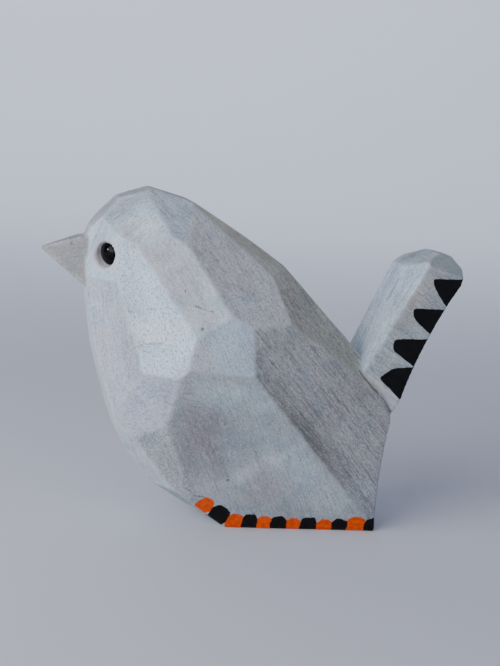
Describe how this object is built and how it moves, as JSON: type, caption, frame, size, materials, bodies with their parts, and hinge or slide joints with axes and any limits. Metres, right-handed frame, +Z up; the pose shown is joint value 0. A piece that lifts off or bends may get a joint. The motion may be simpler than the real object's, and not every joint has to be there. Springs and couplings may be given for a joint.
{
  "type": "carved wooden bird figurine",
  "caption": "Small songbird with a cocked tail, knife-carved from wood with broad flat cuts, painted pale grey, with a dotted hem and a scalloped tail edge.",
  "frame": {"origin": "on the ground under the middle of the bird's box", "axes": "+X from the beak towards the tail, -Y on the bird's left, +Z up"},
  "size_m": [0.09, 0.04, 0.0703],
  "materials": {
    "painted_wood": "matt, thin pale grey paint over knife-cut wood",
    "eye_gloss": "glossy black"
  },
  "bodies": {
    "root": {"body": "painted_wood", "eye_left": "eye_gloss", "eye_right": "eye_gloss"}
  },
  "joints": []
}
